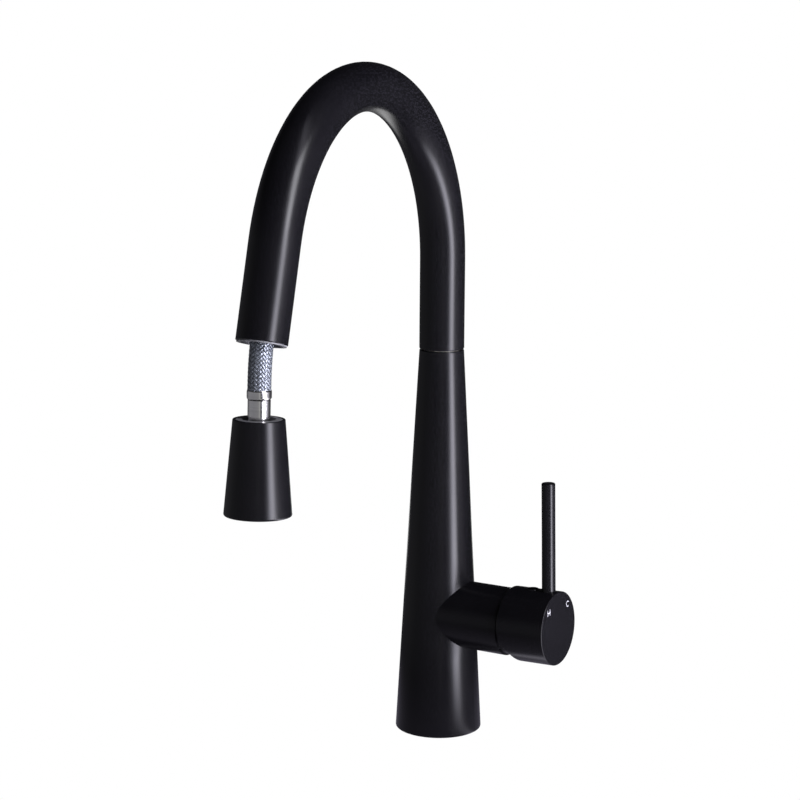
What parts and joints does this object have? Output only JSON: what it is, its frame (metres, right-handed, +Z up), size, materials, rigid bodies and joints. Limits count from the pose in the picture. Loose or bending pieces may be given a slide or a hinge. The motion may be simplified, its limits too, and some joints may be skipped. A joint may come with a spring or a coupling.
{
  "type": "pull-down kitchen faucet",
  "caption": "Tall single-lever kitchen faucet: tapered column with a side lever, high curved spout that swivels, and a braided hose with a pull-down spray head.",
  "frame": {"origin": "centre of the column base where it meets the deck", "axes": "+Z up the column, +X out along the handle barrel; the spout reaches towards -Y, swung 5 degrees towards the handle"},
  "size_m": [0.1124, 0.2754, 0.4992],
  "materials": {
    "matte_black": "matte powder-coated black",
    "brass": "machined, unplated",
    "chrome": "polished",
    "steel": "zinc plated",
    "rubber": "black rubber",
    "nylon": "natural white engineering plastic",
    "dock_grey": "light grey plastic",
    "dark_plastic": "black plastic",
    "spray_grey": "grey silicone",
    "ceramic": null,
    "braid": "grey and silver braided nylon",
    "mark_white": "white print"
  },
  "bodies": {
    "column": {"column_body": "matte_black", "base_gasket": "rubber", "deck_stud": "steel", "clamp_rubber": "rubber", "clamp_plate": "steel", "clamp_nut": "steel", "water_block": "brass", "cartridge_base": "nylon", "port_seals": "rubber", "fixed_disc": "ceramic", "cartridge_body": "nylon", "bonnet_nut": "brass", "cartridge_cover": "matte_black", "upper_bush": "nylon", "lower_bush": "nylon", "friction_ring": "rubber"},
    "turn": {"stem_rotor": "nylon", "pivot_pin": "steel"},
    "disc": {"moving_disc": "ceramic", "disc_carrier": "nylon"},
    "lever": {"lever_stem": "steel", "lever_hub": "matte_black", "lever_pin": "matte_black", "set_screw": "steel", "screw_plug": "matte_black", "hot_mark": "mark_white", "cold_mark": "mark_white"},
    "spout": {"spout_tube": "matte_black", "spout_foot": "brass", "spout_circlip": "steel", "spout_dock_ring": "dock_grey", "hose_tail": "brass"},
    "hose": {"hose_liner": "dark_plastic", "hose_braid": "braid"},
    "hose_end": {"hose_ferrule": "chrome"},
    "head": {"head_shell": "matte_black", "head_insert": "dock_grey", "head_core": "dark_plastic", "aerator_housing": "dark_plastic", "flow_straightener": "dark_plastic", "spray_face": "spray_grey"}
  },
  "joints": [
    {"name": "spout_swivel", "type": "hinge", "parent": "column", "child": "spout", "pos_m": [0, 0, 0.2443], "axis": [0, 0, 1], "continuous": true},
    {"name": "hose_dock", "type": "hinge", "parent": "spout", "child": "hose", "pos_m": [0.00562, -0.06424, 0.24456], "axis": [-0.9962, -0.0872, 0], "range_deg": [0, 13.6], "deforming": ["hose_liner", "hose_braid"]},
    {"name": "head_pull", "type": "slide", "parent": "hose", "child": "hose_end", "axis": [0.003, -0.0348, -0.9994], "range_m": [0, 0.09]},
    {"name": "head_spin", "type": "hinge", "parent": "hose_end", "child": "head", "pos_m": [0.01996, -0.22815, 0.23758], "axis": [0.003, -0.0348, -0.9994], "continuous": true},
    {"name": "lever_turn", "type": "hinge", "parent": "column", "child": "turn", "pos_m": [0.0586, 0, 0.0764], "axis": [1, 0, 0], "range_deg": [-45, 45]},
    {"name": "lever_lift", "type": "hinge", "parent": "turn", "child": "lever", "pos_m": [0.0586, 0, 0.0764], "axis": [0, 1, 0], "range_deg": [0, 24]},
    {"name": "disc_slide", "type": "slide", "parent": "turn", "child": "disc", "axis": [0, 0, 1], "range_m": [0, 0.00819]}
  ],
  "couplings": [
    {"joint": "disc_slide", "follows": "lever_lift", "m_per_rad": 0.019515}
  ]
}
